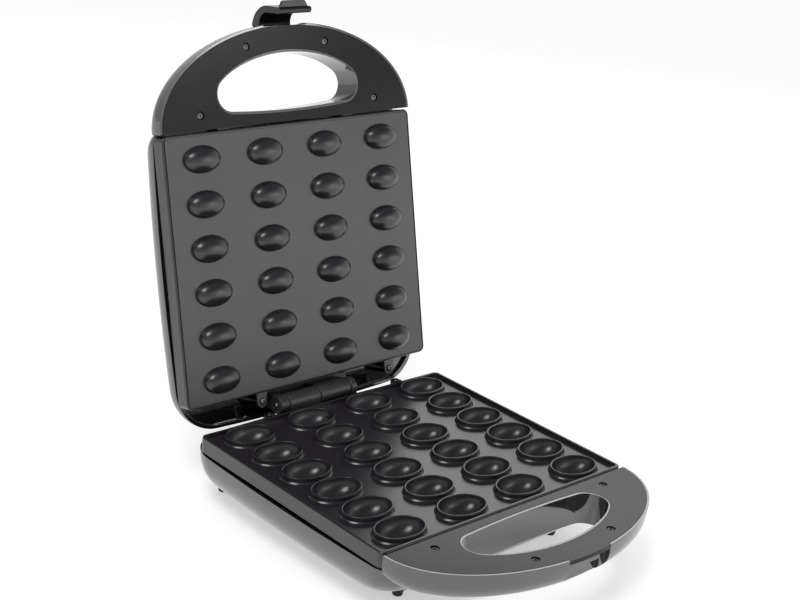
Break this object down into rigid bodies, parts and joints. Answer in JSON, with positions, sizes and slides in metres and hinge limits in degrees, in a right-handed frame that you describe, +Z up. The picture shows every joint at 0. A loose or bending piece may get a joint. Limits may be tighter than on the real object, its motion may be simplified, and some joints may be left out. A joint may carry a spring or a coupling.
{
  "type": "nut_cookie_maker",
  "caption": "Electric nut cookie maker, open: two hinged glossy black shells with finger-hole handles, cast plates with oval cups below and oval domes above, front latch, rubber feet.",
  "frame": {"origin": "centre of the flat underside of the base shell, under the centre of the cup grid", "axes": "+X along the hinge to the right of a user who stands at the handles, +Y from the handles to the hinge, +Z up"},
  "size_m": [0.243, 0.3813, 0.3564],
  "materials": {
    "shell_black": "glossy black phenolic moulding with a soft edge wear",
    "cover_dark": "satin black plate with a fine even grain",
    "plate_cast": "cast aluminium with a dark satin non-stick coating",
    "steel_screws": "bright plated small screws",
    "pin_steel": "ground steel pin",
    "bracket_metal": "cast hinge bracket with dark enamel",
    "steel_plate": "plain strip steel",
    "reflector": "bright thin sheet",
    "heater_tube": "dull grey sheathed heating tube",
    "bakelite": "dark moulded insulator",
    "lead_sleeve": "pale woven glass sleeve",
    "rubber_black": "black rubber gland",
    "rubber_grey": "dark grey rubber",
    "latch_plastic": "glossy black moulded latch",
    "lens": "deep red clear lens",
    "lamp_glass": "small glass lamp"
  },
  "bodies": {
    "base": {"base_shell": "shell_black", "base_handle_cover": "cover_dark", "base_cover_screws": "steel_screws", "cup_plate": "plate_cast", "cup_plate_screws": "steel_screws", "base_heater": "heater_tube", "base_heater_straps": "steel_plate", "base_strap_screws": "steel_screws", "base_reflector": "reflector", "base_reflector_screws": "steel_screws", "base_thermostat": "bakelite", "base_thermostat_screws": "steel_screws", "thermal_fuse": "steel_plate", "terminal_block": "bakelite", "terminal_block_screws": "steel_screws", "base_leads": "lead_sleeve", "base_hinge_bracket": "bracket_metal", "base_bracket_screws": "steel_screws", "hinge_pin": "pin_steel", "cord_inlet": "rubber_black", "feet": "rubber_grey"},
    "lid": {"lid_shell": "shell_black", "lid_handle_cover": "cover_dark", "lid_cover_screws": "steel_screws", "dome_plate": "plate_cast", "dome_plate_screws": "steel_screws", "lid_heater": "heater_tube", "lid_heater_straps": "steel_plate", "lid_strap_screws": "steel_screws", "lid_reflector": "reflector", "lid_reflector_screws": "steel_screws", "lid_thermostat": "bakelite", "lid_thermostat_screws": "steel_screws", "lid_leads": "lead_sleeve", "lid_hinge_bracket": "bracket_metal", "lid_bracket_screws": "steel_screws", "indicator_lenses": "lens", "indicator_lamps": "lamp_glass", "latch_pin": "pin_steel"},
    "latch": {"latch": "latch_plastic"}
  },
  "joints": [
    {"name": "lid_hinge", "type": "hinge", "parent": "base", "child": "lid", "pos_m": [0, 0.11253, 0.0506], "axis": [-1, 0, 0], "range_deg": [-104, 0]},
    {"name": "latch_pivot", "type": "hinge", "parent": "lid", "child": "latch", "pos_m": [0, 0.19456, 0.31927], "axis": [-1, 0, 0], "range_deg": [-28, 45]}
  ]
}
